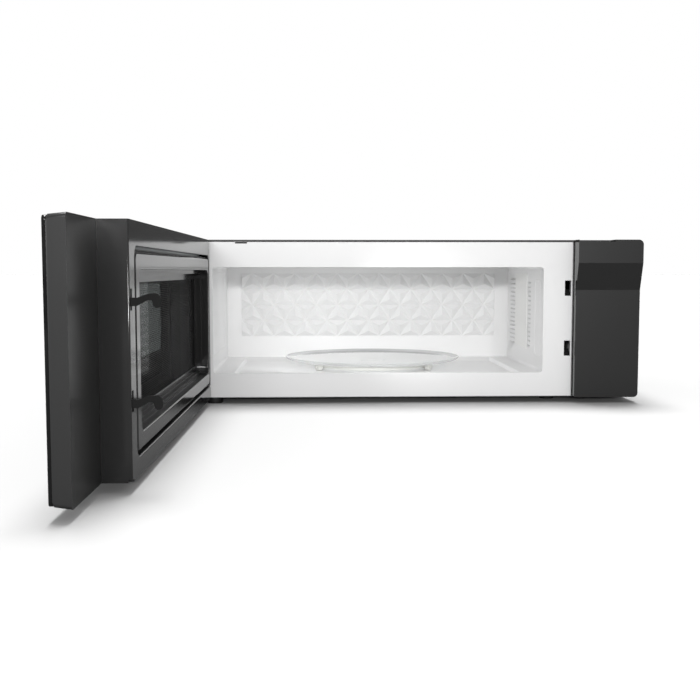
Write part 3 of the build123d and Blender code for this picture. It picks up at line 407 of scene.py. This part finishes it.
# Each lug is a block, long along the radius, its top sunk into the tray's underside
corners = ((lug_near, -lug_half), (lug_far, -lug_half), (lug_far, lug_half), (lug_near, lug_half))
lug = np.array([(r, t, z) for z in (foot_low, tray_under + lug_sunk) for r, t in corners])
turn = np.radians(lug_angles)[:, None]
lugs = np.stack([tray_x + lug[:, 0] * np.cos(turn) - lug[:, 1] * np.sin(turn),
                 tray_y + lug[:, 0] * np.sin(turn) + lug[:, 1] * np.cos(turn), lug[:, 2] + 0 * turn], -1)
block = np.array([(0, 3, 2, 1), (4, 5, 6, 7), (0, 1, 5, 4), (1, 2, 6, 5), (2, 3, 7, 6), (3, 0, 4, 7)])
first_corner = len(tray_profile) * len(angle) + len(lug) * np.arange(len(turn))
lug_faces = (block[None] + first_corner[:, None, None]).reshape(-1, 4)
points = np.concatenate([bowl.reshape(-1, 3), lugs.reshape(-1, 3)])
faces = np.concatenate([bowl_faces, lug_faces])
rounded = np.arange(len(faces)) < len(bowl_faces)


def clear_glass(name, face_on, edge_on, clarity=0.9):
    """Glass as a see-through sheet: its share clarity of the light goes straight through, tinted
    from face_on to edge_on as the surface turns away, the rest is scattered, and a sharp
    reflection on the outer side grows by the Fresnel law."""
    m = empty_material(name)
    facing = add(m, "ShaderNodeLayerWeight", {"Blend": 0.25}).outputs["Facing"]
    tints = {0: facing, 6: linear(face_on), 7: linear(edge_on)}
    tint = add(m, "ShaderNodeMix", tints, data_type="RGBA").outputs[2]
    through = add(m, "ShaderNodeBsdfTransparent", {"Color": tint}).outputs["BSDF"]
    milky = add(m, "ShaderNodeBsdfTranslucent", {"Color": linear("#f4f5f5")}).outputs["BSDF"]
    body = add(m, "ShaderNodeMixShader", {"Fac": 1 - clarity, 1: through, 2: milky}).outputs["Shader"]
    shine = add(m, "ShaderNodeBsdfGlossy", {"Roughness": 0.04}).outputs["BSDF"]
    share = outer_shine(m, 1.4)
    both = add(m, "ShaderNodeMixShader", {"Fac": share, 1: body, 2: shine}).outputs["Shader"]
    add(m, "ShaderNodeOutputMaterial", {"Surface": both})
    return m


tray_glass = clear_glass("clear pressed tray glass", "#ffffff", "#f2f3f3", 0.5)
tray = new_piece("glass_tray_pressed", points, faces, tray_glass, "turntable", rounded)
closed_poles = tray.modifiers.new("closed poles", "WELD")
closed_poles.merge_threshold = double_gap
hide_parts("glass_tray")

# Lamp bulbs and the cooktop lamp's lens. Blown clear glass bulbs, and a lens moulded in clear
# plastic with a frosted face that spreads the light.
lamp_glass = clear_glass("clear lamp glass", "#f6f6f2", "#a9aba6")
dress("cavity_lamp_bulb cooktop_bulbs", lamp_glass)
frosted = finish_material("frosted moulded lens", "#d9dad6", 0.45, grain_mm=1.5, grain_depth=0.03)
dress("cooktop_lens", frosted, 0.2)

# Roller ring, its three rollers and the coupler. Moulded in off-white acetal, slightly waxy. The
# tray motor's case and the door's hinge blocks are moulded in a grey one.
acetal = finish_material("off-white moulded acetal", "#dcdcd8", 0.4, grain_mm=0.8, grain_depth=0.004)
dress("roller_ring roller_1 roller_2 roller_3 tray_coupler", acetal, 0.4)
grey_plastic = finish_material("grey moulded acetal", "#84857f", 0.45)
dress("tray_motor hinge_blocks", grey_plastic, 0.3)

# Grease filters, capacitor can, blower wheels, screws and nuts. The filters are layers of
# aluminium mesh pressed into a pad. The rest is bare aluminium, or steel with a bright coat
# that looks like it.
aluminium = finish_material("bare drawn aluminium", "#b9bbbd", 0.35, metal=1.0, grain_mm=1.5, tint=0.05)
dress("capacitor blower_rotor base_screws bolt_nuts", aluminium, 0.2)
mesh_pitch, mesh_hole = 3.2 / 1000, 1.2 / 1000
mesh_metal = empty_material("layered aluminium filter mesh")
place = add(mesh_metal, "ShaderNodeTexCoord").outputs["Object"]
flat = add(mesh_metal, "ShaderNodeSeparateXYZ", {0: place})
open_cell = punched(mesh_metal, flat.outputs["X"], flat.outputs["Y"], mesh_pitch, mesh_hole)
raised = add(mesh_metal, "ShaderNodeMath", {0: 1.0, 1: open_cell}, operation="SUBTRACT").outputs[0]
# The holes are painted darker than the wire: painted shade of the mesh layers under the top one.
shaded_hole_to_wire = {0: raised, 6: linear("#4a4b4c"), 7: linear("#b4b6b8")}
tone = add(mesh_metal, "ShaderNodeMix", shaded_hole_to_wire, data_type="RGBA").outputs[2]
wire_height = {"Height": raised, "Strength": 0.6, "Distance": 0.0004}
bump = add(mesh_metal, "ShaderNodeBump", wire_height).outputs["Normal"]
shader = add(mesh_metal, "ShaderNodeBsdfPrincipled", {"Base Color": tone, "Metallic": 1.0,
                                                      "Roughness": 0.38, "Normal": bump}).outputs["BSDF"]
add(mesh_metal, "ShaderNodeOutputMaterial", {"Surface": shader})
dress("filter_left filter_right", mesh_metal, 0.4)

# Circuit boards. Glass-fibre board under a green solder mask. The power board stands on posts in
# the body, and the touch board lies behind the door's glass.
board = finish_material("green solder mask on board", "#1c4528", 0.35,
                        grain_mm=3.0, grain_depth=0.02, tint=0.12)
dress("power_board touch_board", board, 0.2)

# Feet. Four short feet under the base plate, moulded in black rubber. They are dull, and take
# almost no highlight.
rubber = finish_material("black moulded rubber", "#0f0f0f", 0.65, grain_mm=0.8, grain_depth=0.02)
dress("feet", rubber, 0.6)

# Paper sweep under the object, seen white wherever no shadow falls. Light that bounces off it
# comes from a greyer paper, so that the object's lower parts aren't washed out.
floor_reach, floor_z = 60, -0.010
bounced, mirrored_paper, seen = 0.25, 0.14, 0.475
floor_corners = [(x * floor_reach, y * floor_reach, floor_z) for x, y in ((-1, -1), (1, -1), (1, 1), (-1, 1))]
floor_mesh = bpy.data.meshes.new("floor")
floor_mesh.from_pydata(floor_corners, [], [(0, 1, 2, 3)])
floor = bpy.data.objects.new("floor", floor_mesh)
bpy.context.collection.objects.link(floor)
paper = empty_material("white paper sweep")
rays = add(paper, "ShaderNodeLightPath")
in_mirrors = {0: rays.outputs["Is Glossy Ray"], 2: bounced, 3: mirrored_paper}
shade = add(paper, "ShaderNodeMix", in_mirrors).outputs[0]
shade = add(paper, "ShaderNodeMix", {0: rays.outputs["Is Camera Ray"], 2: shade, 3: seen}).outputs[0]
sweep = add(paper, "ShaderNodeBsdfDiffuse", {"Color": shade}).outputs["BSDF"]
add(paper, "ShaderNodeOutputMaterial", {"Surface": sweep})
floor_mesh.materials.append(paper)

# Studio: an even grey tent, white to the camera, darker in mirrors and darkest low at the back.
# Its lamps are a key strip in front, two small fills for the cavity and a soft sun overhead.
world = bpy.data.worlds.new("studio")
bpy.context.scene.world = world
world.use_nodes = True
world.node_tree.nodes.clear()
rays = add(world, "ShaderNodeLightPath")
ray = add(world, "ShaderNodeSeparateXYZ", {0: add(world, "ShaderNodeTexCoord").outputs["Generated"]})
behind = add(world, "ShaderNodeMapRange", {"Value": ray.outputs["Y"], "From Min": 0.0, "From Max": 0.5,
                                           "To Min": 0.45, "To Max": 0.1}).outputs["Result"]
high_up = add(world, "ShaderNodeMapRange", {"Value": ray.outputs["Z"], "From Min": 0.25, "From Max": 0.6,
                                            "To Min": 0.0, "To Max": 0.5}).outputs["Result"]
mirrored = add(world, "ShaderNodeMath", {0: behind, 1: high_up}, operation="MAXIMUM").outputs[0]
even = add(world, "ShaderNodeMix", {0: rays.outputs["Is Glossy Ray"], 2: 0.65, 3: mirrored}).outputs[0]
level = add(world, "ShaderNodeMix", {0: rays.outputs["Is Camera Ray"], 2: even, 3: 1.0}).outputs[0]
tent = add(world, "ShaderNodeBackground", {"Color": (1, 1, 1, 1), "Strength": level}).outputs[0]
add(world, "ShaderNodeOutputWorld", {"Surface": tent})


def softbox(name, place, aim, size, power, mirrored=True):
    """Rectangular lamp at place, turned to face aim, both in metres. Where it isn't mirrored, it
    lights surfaces without a highlight of its own."""
    lamp = bpy.data.lights.new(name, "AREA")
    lamp.shape = "RECTANGLE"
    lamp.size, lamp.size_y = size
    lamp.energy = power
    o = bpy.data.objects.new(name, lamp)
    o.location = place
    o.rotation_euler = (Vector(aim) - Vector(place)).to_track_quat("-Z", "Y").to_euler()
    o.visible_glossy = mirrored
    bpy.context.collection.objects.link(o)


softbox("key strip", place=(-0.15, -4.2, 0.66), aim=(-0.05, -0.3, 0.12), size=(1.6, 0.18), power=66)
softbox("cavity fill", place=(-0.12, -0.4, 0.132), aim=(0.07, -0.05, 0.15), size=(0.34, 0.12), power=0.23,
        mirrored=False)
softbox("tray fill", place=(-0.051, -0.37, 0.2), aim=(-0.051, -0.2, 0.04), size=(0.4, 0.02), power=0.03,
        mirrored=False)
overhead = bpy.data.lights.new("overhead", "SUN")
overhead.energy = 4.8
overhead.angle = math.radians(26)
sun = bpy.data.objects.new("overhead", overhead)
sun.rotation_euler = (math.radians(-14), math.radians(-1), 0)
bpy.context.collection.objects.link(sun)

# Camera, fitted to the photograph's edges. It stands about 2 m before the object's rear, looks
# down by 4.6 degrees and turns to the right by 2.1.
focal_pixels, photo_pixels, sensor_mm = 972.2, 700, 36
tilt_down, turn_right = 0.0807, 0.0358
camera_data = bpy.data.cameras.new("camera")
camera_data.lens = focal_pixels / photo_pixels * sensor_mm
camera = bpy.data.objects.new("camera", camera_data)
camera.location = (-0.15677, -1.60659 - body_depth / 1000, 0.20862)
camera.rotation_euler = (math.pi / 2 - tilt_down, 0, -turn_right)
bpy.context.collection.objects.link(camera)
bpy.context.scene.camera = camera
bpy.context.scene.view_settings.view_transform = "Standard"
